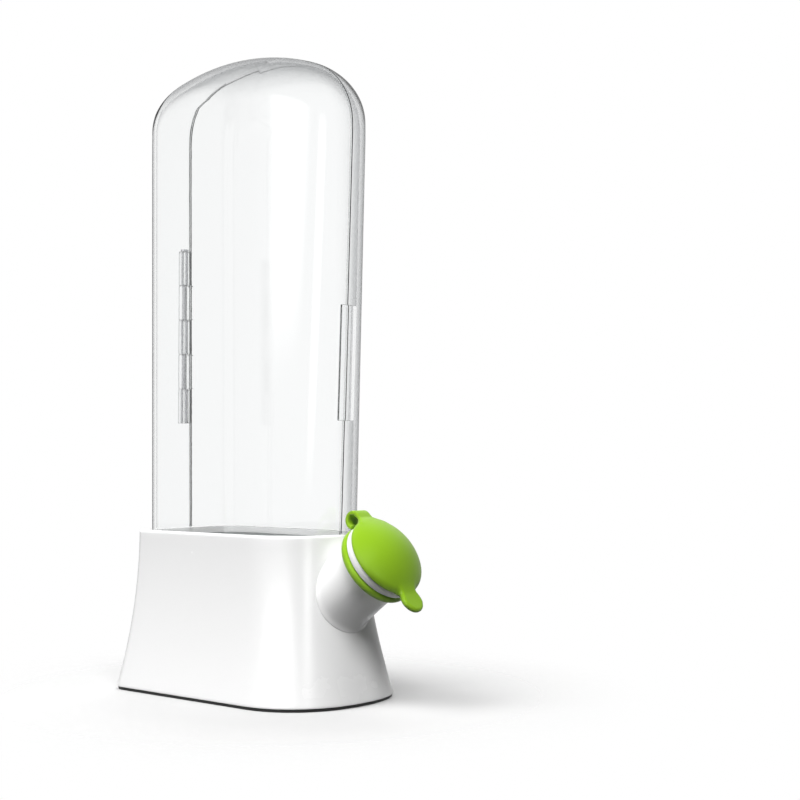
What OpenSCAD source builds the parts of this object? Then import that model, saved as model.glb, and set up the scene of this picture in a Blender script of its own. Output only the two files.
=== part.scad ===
// Herb keeper: a clear two-part pod that stands in the mouth of a white water base,
// with a slanted filling spout on the base's nose and a strapped cap that closes it.
// The origin is on the floor, +Z is up and +X points to the nose with the spout.
// Every piece is symmetric about the plane y = 0, apart from the pod's fixed half and its door.

/* [Pod] */
// Height of the pod's ridge above the floor
pod_top = 279.4; // [255:0.2:300]
// Half the width of the pod
pod_half_w = 26.2; // [23:0.1:28]
// From the origin back to the pod's flat back, at the rim
pod_rear = 54.2; // [48:0.1:58]
// From the origin out to the pod's nose, at the rim
pod_front = 40.4; // [38:0.1:44]
// Radius of the pod's rear corners
pod_corner = 7; // [4:0.5:12]
// Where along X the pod's side turns into its nose
pod_nose_from = 13.6; // [8:0.1:16]
// How much further out the nose is at the shoulder than at the rim
pod_nose_lean = 6.2; // [0:0.1:8]
// How much further back the back is at the shoulder than at the rim
pod_rear_lean = 1.5; // [0:0.1:3]
// Height of the rounded top, from its shoulder to its ridge
dome_rise = 21.6; // [16:0.1:26]
// Roundness of the top's section: 2 is an ellipse and more is squarer
dome_power = 2.35; // [2:0.05:2.8]
// Radius of the ridge's long crown
crown_r = 115; // [95:1:200]
// Where along X the crown is highest
crown_x = -10.6; // [-14:0.1:0]
// Wall of the pod
pod_wall = 2.2; // [1.6:0.1:3]
// Width of the ledge inside the pod's lower edge
ledge_w = 1.6; // [1:0.1:2.5]
// Height of that ledge
ledge_h = 3; // [2:0.1:5]
// Gap between the base's rim and the door's lower edge
door_lift = 0.4; // [0.3:0.05:1]

/* [Seam, hinge and clip] */
// Thickness of the seal between the pod's halves
seal_t = 0.45; // [0.3:0.05:0.8]
// Gap between that seal and the door
seam_gap = 0.12; // [0.08:0.01:0.3]
// How far the seal stays inside the pod's faces
seal_inset = 0.4; // [0.2:0.05:0.6]
// Height of the hinge's lower end above the floor
hinge_from = 118.4; // [100:0.1:140]
// Length of the hinge
hinge_len = 80; // [50:1:90]
// Outer radius of a hinge knuckle
knuckle_r = 2.6; // [2.2:0.1:3.4]
// Radius of the hinge pin
pin_r = 1; // [0.8:0.05:1.3]
// Radial clearance of the pin in its knuckles
pin_clear = 0.05; // [0.02:0.01:0.1]
// Height of the clip's lower end above the floor
clip_from = 118.4; // [100:0.1:140]
// Length of the clip up the nose
clip_len = 48.8; // [30:0.1:60]
// Width of the clip across the seam
clip_w = 9.6; // [7:0.1:12]
// Thickness of the clip
clip_t = 1; // [0.8:0.1:1.6]
// Gap between the clip and the tip of the nose
clip_gap = 0.35; // [0.25:0.05:0.6]

/* [Base] */
// Height of the base's rim above the floor
rim_z = 70.4; // [62:0.2:80]
// Clearance between the pod and the base's mouth
mouth_clear = 0.4; // [0.3:0.05:0.8]
// Width of the rim outside the mouth
rim_w = 2.8; // [2.4:0.1:3.6]
// Radius of the rim's outer edge
rim_round = 1.2; // [0.6:0.1:1.6]
// Depth of the mouth's straight wall
mouth_depth = 8; // [7:0.1:12]
// From the origin back to the base's lower edge
base_rear = 63.3; // [61:0.1:70]
// Half the width of the base's lower edge
base_half_w = 38.8; // [35:0.1:44]
// From the origin out to the base's nose, at its lower edge
base_front = 54.3; // [50:0.1:60]
// Where along X the base's side turns into its nose, at its lower edge
base_nose_from = 20.8; // [14:0.1:26]
// Roundness of the base's nose at its lower edge: 2 is an ellipse
base_power = 2.26; // [2:0.02:2.6]
// Radius of the base's rear corners
base_corner = 8; // [3:0.5:9]
// Radius of the base's rear corners at the rim
rim_corner = 4.5; // [3:0.5:7]
// Wall of the base
base_wall = 2.6; // [2:0.1:3.2]
// Height of the foot ring
foot_h = 1.3; // [1:0.1:2.5]
// Width of the foot ring
foot_w = 5; // [4:0.1:8]
// How far the foot ring stays inside the base's edge
foot_inset = 0.7; // [0.3:0.1:1.5]
// Thickness of the floor plate
plate_t = 2.7; // [2:0.1:3.5]
// Clearance of the floor plate and of the seals
plate_clear = 0.3; // [0.15:0.05:0.5]
// Height of the floor seal
floor_seal_h = 2; // [1.2:0.1:2.2]
// Width of the floor seal
floor_seal_w = 2.6; // [1.5:0.1:4]
// Radius of the pads that the pod stands on
pad_r = 3.2; // [2.5:0.1:4]
// Height of those pads above the floor plate
pad_h = 2.4; // [2.3:0.1:5]
// Height of the mouth seal
mouth_seal_h = 3; // [2:0.1:4]
// Depth of the mouth seal's groove
groove_d = 1.2; // [0.8:0.1:1.5]
// Thickness of the stem grate
grate_t = 2; // [1.5:0.1:3]
// Radius of the grate's holes
grate_hole_r = 2; // [1.5:0.1:2.6]
// Distance between the grate's holes
grate_pitch = 7.5; // [6.5:0.1:10]

/* [Spout and cap] */
// How far the spout's seat reaches past the base's nose
spout_reach = 10.8; // [8:0.1:14]
// How far the middle of the spout's seat lies below the rim
spout_drop = 8.5; // [6:0.1:14]
// Lean of the spout from upright
spout_lean = 55; // [50:1:60]
// Radius of the spout's bore
bore_r = 11.3; // [9:0.1:12]
// Radius of the spout's neck under the ring
neck_r = 14.8; // [13.8:0.1:15]
// How far the neck reaches into the base along its axis
neck_depth = 34; // [30:0.5:38]
// Radius to which the neck flares at its end
flare_r = 15.8; // [15.2:0.1:18]
// Radius of the seat lip
lip_r = 17.5; // [16.4:0.1:18]
// Thickness of the seat lip
lip_t = 3.4; // [2.4:0.1:4]
// Outer radius of the ring round the neck
ring_r = 17.9; // [17:0.1:19]
// Thickness of that ring
ring_t = 4.4; // [3.5:0.1:5]
// Radius of the cap
cap_r = 18; // [17:0.1:19]
// Height of the cap's straight side
cap_side = 2.6; // [2:0.1:3.5]
// Height of the cap's dome above its side
cap_dome = 6.7; // [5:0.1:8]
// Length of the cap's plug
plug_len = 7; // [5:0.1:8]
// Clearance of the plug in the bore at its seat
plug_clear = 0.3; // [0.2:0.05:0.5]
// How much the plug narrows to its end
plug_taper = 1.6; // [1.4:0.05:2]
// Width of the strap
strap_w = 8; // [6:0.1:9]
// Outer radius of the strap's loop
loop_r = 4; // [3.6:0.1:4.4]
// How far the middle of the loop lies behind the seat lip
loop_back = 0.2; // [0.1:0.1:0.6]
// How deep the loop sinks into the ring
loop_sink = 1.2; // [1:0.1:1.8]
// Thickness of the strap
strap_t = 1.7; // [1.4:0.1:2]
// Width of the lug where it meets the cap
lug_w = 12.6; // [10:0.2:15]
// Gap between the lug and the loop that it carries on from
lug_gap = 0.15; // [0.1:0.05:0.3]
// Width of the pull tab
tab_w = 10.8; // [8:0.1:13]
// How far the pull tab reaches past the cap
tab_len = 9.3; // [6:0.1:12]
// Thickness of the pull tab
tab_t = 2.6; // [1.8:0.1:3]

/* [Hidden] */
$fn = 64;

clear_col = [0.86, 0.9, 0.92, 0.45];
white_col = [0.95, 0.95, 0.94];
green_col = [0.5, 0.75, 0.13];
seal_col = [0.62, 0.64, 0.64];
dark_col = [0.07, 0.07, 0.07];
steel_col = [0.7, 0.7, 0.72];

// Steps along a half outline: the flat back, the rear corner, the side and the nose
back_n = 2;
corner_n = 4;
side_n = 5;
nose_n = 11;
// Angle between two rings of the rounded top
dome_step = 9;

// An outline is [rear, half width, corner radius, where the nose starts, front, power of the nose].
function inset(v, d) = [v[0] - d, v[1] - d, max(v[2] - d, 0.3), v[3], v[4] - d, v[5]];

// Half of an outline, y >= 0, from the middle of the back round to the tip of the nose
function half_outline(v) = concat(
    [for (i = [0:back_n - 1]) [-v[0], (v[1] - v[2]) * i / back_n]],
    [for (i = [0:corner_n - 1]) let (a = 90 * i / corner_n)
        [-v[0] + v[2] * (1 - cos(a)), v[1] - v[2] + v[2] * sin(a)]],
    [for (i = [0:side_n - 1]) [-v[0] + v[2] + (v[3] + v[0] - v[2]) * i / side_n, v[1]]],
    [for (i = [0:nose_n]) let (a = 90 * i / nose_n)
        [v[3] + (v[4] - v[3]) * pow(sin(a), 2 / v[5]), v[1] * pow(cos(a), 2 / v[5])]]);

// The whole outline, once round
function outline(v) = let (h = half_outline(v), n = len(h))
    concat(h, [for (i = [n - 2:-1:1]) [h[i][0], -h[i][1]]]);

function ring_at(v, z) = [for (p = outline(v)) [p[0], p[1], z]];

// Base: its outline at a height, from the rim's to the lower edge's, as one concave flare
rim_outline = [pod_rear + mouth_clear + rim_w, pod_half_w + mouth_clear + rim_w, rim_corner,
               pod_nose_from, pod_front + mouth_clear + rim_w, 2];
function mix(a, b, t) = a + (b - a) * t;
function base_at(z) = let (t = (rim_z - z) / (rim_z - foot_h), r = rim_outline)
    [mix(r[0], base_rear, pow(t, 2)), mix(r[1], base_half_w, pow(t, 2)), mix(r[2], base_corner, pow(t, 2)),
     mix(r[3], base_nose_from, t), mix(r[4], base_front, pow(t, 1.7)), mix(2, base_power, t)];
base_levels = [for (k = [0:9]) mix(foot_h, rim_z - rim_round, k / 9)];
function base_inner_at(z) = inset(base_at(z), base_wall);

// Pod: its outline at a height, leaning out steadily up to the shoulder
pod_bottom = foot_h + plate_t + pad_h;
shoulder_z = min(ridge_z(pod_front + pod_nose_lean), ridge_z(-pod_rear - pod_rear_lean)) - dome_rise - pod_wall - 1;
function lean_at(z) = (z - rim_z) / (shoulder_z - rim_z);
function pod_at(z) = [pod_rear + pod_rear_lean * lean_at(z), pod_half_w, pod_corner,
                      pod_nose_from, pod_front + pod_nose_lean * lean_at(z), 2];
function ridge_z(x) = pod_top - pow(x - crown_x, 2) / (2 * crown_r);
door_z = rim_z + door_lift;
door_y = seal_t + seam_gap;

// One ring of a half shell, set in by d from the pod's outside and starting at y0
function shift_y(p, half_w, y0) = y0 + p[1] * (half_w - y0) / half_w;
function wall_ring(z, d, y0) = let (v = inset(pod_at(z), d))
    [for (p = half_outline(v)) [p[0], shift_y(p, v[1], y0), z]];
function dome_ring(a, d, y0) =
    let (c = pow(cos(a), 2 / dome_power), s = pow(sin(a), 2 / dome_power),
         v0 = inset(pod_at(shoulder_z), d), u = inset(v0, v0[1] * (1 - c)),
         v = [u[0], u[1], min(v0[2], 0.9 * u[1]), u[3], u[4], u[5]])
    [for (p = half_outline(v)) [p[0], shift_y(p, v[1], y0), ridge_z(p[0]) - d - dome_rise * (1 - s)]];
function ridge_ring(d, y0) =
    let (v = pod_at(shoulder_z), h = half_outline(inset(v, pod_half_w - 4)), n = len(h),
         x0 = -v[0] + pod_half_w, x1 = v[4] - pod_half_w, h0 = h[0][0], h1 = h[n - 1][0])
    [for (i = [0:n - 1]) let (f = 0.8 * (h[i][0] - h0) / (h1 - h0) + 0.2 * i / (n - 1), x = mix(x0, x1, f))
        [x, y0, ridge_z(x) - d]];
function top_rings(d, y0) = concat([for (a = [0:dome_step:82]) dome_ring(a, d, y0)], [ridge_ring(d, y0)]);
upper_levels = [for (k = [1:3]) mix(door_z, shoulder_z, k / 3)];
low_levels = [pod_bottom, pod_bottom + ledge_h, mix(pod_bottom, rim_z, 0.5), rim_z - 0.1];

// Hinge and clip
rear_slope = atan(pod_rear_lean / (shoulder_z - rim_z));
nose_slope = atan(pod_nose_lean / (shoulder_z - rim_z));
hinge_x = -(pod_at(hinge_from + hinge_len)[0] + 0.4 + knuckle_r);
knuckle_n = 5;
knuckle_gap = 0.3;
knuckle_h = (hinge_len - (knuckle_n - 1) * knuckle_gap) / knuckle_n;

// Spout frame: its seat is at the local origin, and its axis is the local +Z
spout_x = base_front + spout_reach;
spout_z = rim_z - spout_drop;
axis_x = sin(spout_lean);
axis_z = cos(spout_lean);
bore_len = neck_depth + 6;
// A place in X and Z, s along the spout's axis and u up its seat
function at_seat(s, u) = [spout_x + s * axis_x - u * axis_z, spout_z + s * axis_z + u * axis_x];
// The loop lies beside the lip, against the ring, with its axis along Y
loop_mid = at_seat(-lip_t - loop_back, ring_r + loop_r - loop_sink);
// The strap ends, and the cap's lug starts, at these angles round the loop
strap_end = 14;
lug_to = 24;
mouth_groove_top = rim_z - 3;
grate_z = pod_bottom + ledge_h;

// ---- Shapes that several pieces use ----

// Two triangles for a four-cornered face
function quad(a, b, c, d) = [[a, b, c], [a, c, d]];
function join(lists) = [for (l = lists) for (e = l) e];

// A solid between rings that are stacked upwards, closed flat at both ends
module stacked(rings) {
    n = len(rings[0]);
    m = len(rings);
    polyhedron(points = join(rings), faces = concat(
        join([for (j = [0:m - 2]) for (i = [0:n - 1]) let (k = (i + 1) % n)
            quad(j * n + i, j * n + k, (j + 1) * n + k, (j + 1) * n + i)]),
        [[for (i = [n - 1:-1:0]) i]],
        [[for (i = [0:n - 1]) (m - 1) * n + i]]));
}

// A wall whose section runs up its outside and down its inside, closed on itself
module wall_round(rings) {
    n = len(rings[0]);
    m = len(rings);
    polyhedron(points = join(rings), faces = join(
        [for (j = [0:m - 1]) for (i = [0:n - 1]) let (k = (i + 1) % n, l = (j + 1) % m)
            quad(j * n + i, j * n + k, l * n + k, l * n + i)]));
}

// Half a shell, y >= 0, between rows of outer and inner points that run from back to nose
module half_shell(outer, inner) {
    n = len(outer[0]);
    m = len(outer);
    o = m * n;
    t = (m - 1) * n;
    polyhedron(points = concat(join(outer), join(inner)), faces = concat(
        join([for (j = [0:m - 2]) for (i = [0:n - 2]) let (a = j * n + i)
            concat(quad(a, a + 1, a + n + 1, a + n), quad(o + a, o + a + n, o + a + n + 1, o + a + 1))]),
        join([for (i = [0:n - 2]) concat(quad(i + 1, i, o + i, o + i + 1),
                                         quad(t + i, t + i + 1, o + t + i + 1, o + t + i))]),
        join([for (j = [0:m - 2]) let (a = j * n, b = j * n + n - 1)
            concat(quad(a, a + n, o + a + n, o + a), quad(b + n, b, o + b, o + b + n))])));
}

// A flat ring or plate with the shape of an outline
module outline_plate(v, z, h) {
    translate([0, 0, z]) linear_extrude(h) polygon(outline(v));
}

module outline_band(v_out, v_in, z, h) {
    translate([0, 0, z]) linear_extrude(h) difference() {
        polygon(outline(v_out));
        polygon(outline(v_in));
    }
}

module spout_frame() {
    translate([spout_x, 0, spout_z]) rotate([0, spout_lean, 0]) children();
}

// The base's nose as one solid, which the spout's neck is cut to
function nose_ring(v, z) = let (h = half_outline(v), a = back_n + corner_n + side_n, n = len(h))
    concat([for (i = [a:n - 1]) [h[i][0], h[i][1], z]], [for (i = [n - 2:-1:a]) [h[i][0], -h[i][1], z]]);
module base_nose() {
    stacked([for (z = concat(base_levels, [rim_z])) nose_ring(base_at(z), z)]);
}

// A flat piece drawn in X and Z, with its width centred on y = 0
module across(w) {
    rotate([90, 0, 0]) translate([0, 0, -w / 2]) linear_extrude(w) children();
}

// Every second knuckle of the hinge, with the leaf that joins it to the wall on one side of the seam
module knuckles(first, y_from) {
    for (k = [first:2:knuckle_n - 1]) let (z = hinge_from + k * (knuckle_h + knuckle_gap)) {
        translate([hinge_x, 0, z]) cylinder(r = knuckle_r, h = knuckle_h);
        translate([hinge_x, y_from, z])
            cube([-hinge_x - pod_at(z)[0] + pod_wall * 0.6, knuckle_r - door_y, knuckle_h]);
    }
}

module pin_bore() {
    translate([hinge_x, 0, hinge_from - 1]) cylinder(r = pin_r + pin_clear, h = hinge_len + 2);
}

// ---- Base ----

module base_housing() {
    mouth = inset(pod_at(rim_z), -mouth_clear);
    groove_low = mouth_groove_top - mouth_seal_h;
    mouth_low = rim_z - mouth_depth;
    rounded = [for (a = [30:30:90])
        ring_at(inset(base_at(rim_z - rim_round + rim_round * sin(a)), rim_round * (1 - cos(a))),
                rim_z - rim_round + rim_round * sin(a))];
    color(white_col) difference() {
        wall_round(concat(
            [for (z = base_levels) ring_at(base_at(z), z)],
            rounded,
            [ring_at(inset(mouth, -0.5), rim_z), ring_at(mouth, rim_z - 0.5),
             ring_at(mouth, mouth_groove_top), ring_at(inset(mouth, -groove_d), mouth_groove_top),
             ring_at(inset(mouth, -groove_d), groove_low), ring_at(mouth, groove_low),
             ring_at(mouth, mouth_low)],
            [for (k = [0:5]) let (z = mix(mouth_low - 3, foot_h, k / 5)) ring_at(base_inner_at(z), z)]));
        spout_frame() translate([0, 0, -bore_len]) cylinder(r = bore_r, h = bore_len);
    }
}

module filling_spout() {
    flare_from = -lip_t - ring_t - 0.4;
    color(white_col) difference() {
        spout_frame() rotate([0, 0, 10]) rotate_extrude() polygon(concat(
            [[bore_r, -neck_depth], [bore_r, 0], [lip_r - 0.5, 0], [lip_r, -0.5], [lip_r, 0.5 - lip_t],
             [lip_r - 0.5, -lip_t], [neck_r, -lip_t], [neck_r, flare_from]],
            [for (k = [1:6]) [mix(neck_r, flare_r, pow(k / 6, 2)), mix(flare_from, -neck_depth, k / 6)]]));
        base_nose();
    }
}

module floor_plate() {
    top = foot_h + plate_t;
    color(white_col) {
        outline_plate(inset(base_inner_at(top), plate_clear), foot_h, plate_t);
        for (x = [-0.62 * pod_rear, 0.12 * pod_front], s = [-1, 1])
            translate([x, s * (pod_half_w - pod_wall / 2), top]) cylinder(r = pad_r, h = pod_bottom - top);
    }
}

module floor_seal() {
    z = foot_h + plate_t;
    outer = inset(base_inner_at(z + floor_seal_h), plate_clear / 2);
    color(seal_col) outline_band(outer, inset(outer, floor_seal_w), z, floor_seal_h);
}

module foot_ring() {
    outer = inset(base_at(foot_h), foot_inset);
    color(dark_col) outline_band(outer, inset(outer, foot_w), 0, foot_h);
}

module mouth_seal() {
    z = mouth_groove_top - mouth_seal_h + plate_clear / 2;
    mouth = inset(pod_at(rim_z), -mouth_clear);
    color(seal_col) outline_band(inset(mouth, plate_clear / 2 - groove_d), inset(mouth, mouth_clear / 2),
                                 z, mouth_seal_h - plate_clear);
}

// ---- Spout's ring, strap and cap ----

module cap_ring() {
    mid = -lip_t - ring_t / 2;
    half = ring_t / 2 - 0.1;
    core = ring_r - half;
    color(green_col) spout_frame() rotate_extrude() polygon(concat(
        [[neck_r + 0.1, mid - half]],
        [for (a = [-90:15:90]) [core + half * cos(a), mid + half * sin(a)]],
        [[neck_r + 0.1, mid + half]]));
}

module cap_strap() {
    far = 3 * loop_r;
    color(green_col) difference() {
        across(strap_w) translate(loop_mid) difference() {
            circle(r = loop_r);
            circle(r = loop_r - strap_t);
            polygon([[0, 0], [far, far * tan(strap_end)], [far, -far], [0.4, -far]]);
        }
        spout_frame() translate([0, 0, -bore_len]) cylinder(r = ring_r, h = bore_len);
    }
}

// The cap's lug, which carries on from the loop and spreads on its way to the cap
module lug() {
    r = loop_r + lug_gap;
    start = loop_mid[0] + r * cos(lug_to);
    tip = at_seat(cap_side - 0.3, cap_r - 2)[0];
    intersection() {
        across(lug_w) polygon(concat(
            [for (a = [8:4:lug_to]) loop_mid + r * [cos(a), sin(a)]],
            [at_seat(cap_side - 0.3, cap_r - 0.4), at_seat(cap_side - 0.3, cap_r - 2), at_seat(0.7, cap_r - 1)]));
        translate([0, 0, rim_z - 10]) linear_extrude(40)
            polygon([[start - 1, -strap_w / 2], [start, -strap_w / 2], [tip, -lug_w / 2], [tip + 1, -lug_w / 2],
                     [tip + 1, lug_w / 2], [tip, lug_w / 2], [start, strap_w / 2], [start - 1, strap_w / 2]]);
    }
}

module filler_cap() {
    dome_r = (pow(cap_r - 0.7, 2) + pow(cap_dome, 2)) / (2 * cap_dome);
    edge = asin((cap_r - 0.7) / dome_r);
    color(green_col) {
        spout_frame() rotate_extrude() polygon(concat(
            [[0, -plug_len], [bore_r - plug_clear - plug_taper, -plug_len], [bore_r - plug_clear, -0.05],
             [bore_r - plug_clear, 0.05], [cap_r - 0.4, 0.05], [cap_r, 0.5], [cap_r, cap_side - 0.4]],
            [for (k = [0:11]) let (a = edge * (1 - k / 12))
                [dome_r * sin(a), cap_side + cap_dome - dome_r * (1 - cos(a))]],
            [[0, cap_side + cap_dome]]));
        lug();
        // Pull tab, away from the strap, with a neck that is narrower than its tongue
        spout_frame() translate([0, 0, 0.5]) {
            translate([cap_r - 4, -tab_w * 0.36, 0]) cube([4 + tab_len - tab_w / 2, tab_w * 0.72, tab_t]);
            translate([cap_r + tab_len - tab_w / 2, 0, 0]) cylinder(d = tab_w, h = tab_t);
        }
    }
}

// ---- Pod ----

module pod_body() {
    outer_low = [for (z = [low_levels[0], low_levels[1], low_levels[1] + 0.5, low_levels[2], low_levels[3]]) wall_ring(z, 0, 0)];
    inner_low = concat([wall_ring(low_levels[0], pod_wall + ledge_w, 0), wall_ring(low_levels[1], pod_wall + ledge_w, 0)],
                       [wall_ring(low_levels[1], pod_wall, 0), wall_ring(low_levels[2], pod_wall, 0),
                        wall_ring(low_levels[3], pod_wall, 0)]);
    upper = concat([door_z], upper_levels);
    color(clear_col) difference() {
        union() {
            mirror([0, 1, 0]) half_shell(
                concat(outer_low, [for (z = upper) wall_ring(z, 0, 0)], top_rings(0, 0)),
                concat(inner_low, [for (z = upper) wall_ring(z, pod_wall, 0)], top_rings(pod_wall, 0)));
            half_shell(outer_low, inner_low);
            knuckles(0, door_y - knuckle_r);
        }
        pin_bore();
    }
}

module pod_door() {
    levels = concat([door_z], upper_levels);
    mid = clip_from + clip_len / 2;
    color(clear_col) difference() {
        union() {
            half_shell(concat([for (z = levels) wall_ring(z, 0, door_y)], top_rings(0, door_y)),
                       concat([for (z = levels) wall_ring(z, pod_wall, door_y)], top_rings(pod_wall, door_y)));
            knuckles(1, door_y);
            translate([pod_at(mid)[4], 0, mid]) rotate([0, nose_slope, 0]) {
                translate([clip_gap, -clip_w / 2, -clip_len / 2]) cube([clip_t, clip_w, clip_len]);
                translate([-pod_wall * 0.6, clip_w / 2 - 2.4, -clip_len / 2])
                    cube([pod_wall * 0.6 + clip_gap + clip_t / 2, 2.4, clip_len]);
            }
        }
        pin_bore();
    }
}

// A strip along the seam: up the back, over the ridge and down the nose
module door_seal() {
    levels = concat([door_z], upper_levels);
    function seam(d) = let (rows = concat([for (z = levels) wall_ring(z, d, 0)], top_rings(d, 0)),
                            m = len(rows), n = len(rows[0]))
        concat([for (j = [0:m - 2]) rows[j][0]], rows[m - 1], [for (j = [m - 2:-1:0]) rows[j][n - 1]]);
    a = seam(seal_inset);
    b = seam(pod_wall - seal_inset);
    color(seal_col) stacked([for (i = [0:len(a) - 1])
        [[a[i][0], 0, a[i][2]], [a[i][0], seal_t, a[i][2]], [b[i][0], seal_t, b[i][2]], [b[i][0], 0, b[i][2]]]]);
}

module hinge_pin() {
    color(steel_col) translate([hinge_x, 0, hinge_from]) {
        cylinder(r = pin_r, h = hinge_len);
        translate([0, 0, hinge_len]) cylinder(r = pin_r + 0.8, h = 1);
    }
}

module stem_grate() {
    v = inset(pod_at(grate_z), pod_wall + 0.15);
    rows = floor((v[1] - grate_hole_r - 3) / grate_pitch);
    first = ceil((-v[0] + grate_hole_r + 3) / grate_pitch);
    last = floor((v[4] - grate_hole_r - 3) / grate_pitch);
    color(white_col) difference() {
        outline_plate(v, grate_z, grate_t);
        for (i = [first:last], j = [-rows:rows])
            if (i * grate_pitch <= v[3] || pow((i * grate_pitch - v[3]) / (v[4] - v[3] - 6), 2) + pow(j * grate_pitch / (v[1] - 4), 2) < 1)
                translate([i * grate_pitch, j * grate_pitch, grate_z - 1]) cylinder(r = grate_hole_r, h = grate_t + 2, $fn = 24);
    }
}

base_housing();
filling_spout();
floor_plate();
floor_seal();
foot_ring();
mouth_seal();
cap_ring();
cap_strap();
filler_cap();
pod_body();
stem_grate();
door_seal();
pod_door();
hinge_pin();
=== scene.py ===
# %% [markdown]
# # A herb keeper, piece by piece
# A clear two-part pod stands in the mouth of a glossy white water base. A short spout slants up
# from the base's nose, and a soft green cap on a looped strap closes it. The solids are already
# there as a frame, in metres, with +Z up and +X towards the spout. This script gives each piece
# the smooth surface and the finish of the real one.

# %% Load the frame
import bpy
import numpy as np
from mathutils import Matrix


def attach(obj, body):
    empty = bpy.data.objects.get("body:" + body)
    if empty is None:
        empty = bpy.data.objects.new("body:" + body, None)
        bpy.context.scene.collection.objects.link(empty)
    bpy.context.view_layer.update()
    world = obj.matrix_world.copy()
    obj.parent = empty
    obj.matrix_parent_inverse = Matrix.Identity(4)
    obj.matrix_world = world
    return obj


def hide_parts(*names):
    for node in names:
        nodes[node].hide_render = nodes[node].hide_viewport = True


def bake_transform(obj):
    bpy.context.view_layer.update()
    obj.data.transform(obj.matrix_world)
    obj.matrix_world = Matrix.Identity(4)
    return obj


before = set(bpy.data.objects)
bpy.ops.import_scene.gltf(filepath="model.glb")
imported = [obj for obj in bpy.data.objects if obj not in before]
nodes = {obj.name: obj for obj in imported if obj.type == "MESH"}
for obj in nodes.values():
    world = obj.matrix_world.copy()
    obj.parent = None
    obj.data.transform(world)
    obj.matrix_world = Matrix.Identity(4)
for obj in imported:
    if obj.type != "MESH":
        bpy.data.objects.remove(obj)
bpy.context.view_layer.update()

# %% [markdown]
# ## The camera
# The photograph was taken from low down, at about two fifths of the keeper's height, through a
# long lens that looks very slightly upwards. A camera is best set first: its place, the direction
# it looks in and its focal length were worked out from the outline of the base and the pod.

# %% The camera at the photograph's angle
from mathutils import Vector

EYE = Vector((0.4613, -0.4623, 0.1056))
LOOK = Vector((-0.6428, 0.7653, 0.0345))
LENS_MM, SENSOR_MM, NEAREST = 66.49, 36.0, 0.01
lens = bpy.data.cameras.new("photo_lens")
lens.lens, lens.sensor_width, lens.clip_start = LENS_MM, SENSOR_MM, NEAREST
camera = bpy.data.objects.new("photo_camera", lens)
camera.location = EYE
camera.rotation_euler = LOOK.to_track_quat("-Z", "Y").to_euler()
bpy.context.scene.collection.objects.link(camera)
bpy.context.scene.camera = camera
print("camera looks", [round(c, 3) for c in LOOK.normalized()])

# %% [markdown]
# ## Sizes
# The shapes below follow the same sizes as the solids, here in millimetres. An outline is six
# numbers: how far back it goes, half its width, its rear corners' radius, where the nose starts,
# how far the nose goes, and how square the nose is (2 is an ellipse).

# %% Sizes of the pod and the base, in millimetres
MM = 0.001
RIM_Z, FOOT_H, POD_BOTTOM = 70.4, 1.3, 6.4
POD_HALF, POD_WALL, LEDGE_W, LEDGE_H = 26.2, 2.2, 1.6, 3.0
POD_REAR, POD_FRONT, POD_CORNER, NOSE_FROM, ELLIPSE = 54.2, 40.4, 7.0, 13.6, 2.0
NOSE_LEAN, REAR_LEAN = 6.2, 1.5
POD_TOP, DOME_RISE, DOME_POWER, CROWN_R, CROWN_X = 279.36, 21.6, 2.35, 115.0, -10.6
SHOULDER_DROP = 1.0
SEAL_T, SEAM_GAP, DOOR_Z = 0.45, 0.12, 70.8
DOOR_Y = SEAL_T + SEAM_GAP
SHARPEST = 0.3


def mix(a, b, t):
    """The value a share t of the way from a to b."""
    return a + (b - a) * t


def ridge_z(x):
    """Height of the pod's ridge: a wide circle of radius CROWN_R, taken as a parabola about CROWN_X."""
    return POD_TOP - (x - CROWN_X) ** 2 / (2 * CROWN_R)


LOWEST_RIDGE = min(ridge_z(POD_FRONT + NOSE_LEAN), ridge_z(-POD_REAR - REAR_LEAN))
SHOULDER_Z = LOWEST_RIDGE - DOME_RISE - POD_WALL - SHOULDER_DROP


def pod_at(z):
    """The pod's outline at height z: nose and back lean out evenly from the rim to the shoulder."""
    t = (z - RIM_Z) / (SHOULDER_Z - RIM_Z)
    rear, front = POD_REAR + REAR_LEAN * t, POD_FRONT + NOSE_LEAN * t
    return np.array([rear, POD_HALF, POD_CORNER, NOSE_FROM, front, ELLIPSE])


def inset(v, d):
    """An outline drawn in by d all round; its rear corners never get sharper than SHARPEST."""
    return np.array([v[0] - d, v[1] - d, max(v[2] - d, SHARPEST), v[3], v[4] - d, v[5]])


print("the rounded top starts at", round(SHOULDER_Z, 1), "mm")

# %% [markdown]
# ## Outlines as rows of points
# Every shell here is a stack of outlines. Half of one is worked out from the middle of the back,
# round the corner and along the flat side to the tip of the nose, always with the same number of
# points, so that two outlines one above the other join into a grid of faces.

# %% Half an outline, and the whole one
BACK_N, CORNER_N, SIDE_N, NOSE_N = 4, 9, 14, 40


def half_outline(v):
    """Half outline, y from 0 upwards: straight back, a quarter circle of radius v[2], straight side,
    then a quarter superellipse, x = from + reach * sin(b)^(2/p), y = half * cos(b)^(2/p)."""
    rear, half, corner, start, front, power = v
    a = np.linspace(0, np.pi / 2, CORNER_N, endpoint=False)
    b = np.linspace(0, np.pi / 2, NOSE_N)
    back = [np.full(BACK_N, -rear), np.linspace(0, half - corner, BACK_N, endpoint=False)]
    turn = [-rear + corner * (1 - np.cos(a)), half - corner + corner * np.sin(a)]
    side = [np.linspace(-rear + corner, start, SIDE_N, endpoint=False), np.full(SIDE_N, half)]
    nose = [start + (front - start) * np.sin(b) ** (2 / power),
            half * np.clip(np.cos(b), 0, 1) ** (2 / power)]
    return np.concatenate([back, turn, side, nose], axis=1).T


def outline(v):
    """The whole outline: the half, then its mirror image back to the start."""
    h = half_outline(v)
    return np.concatenate([h, h[-2:0:-1] * [1, -1]])


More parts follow.
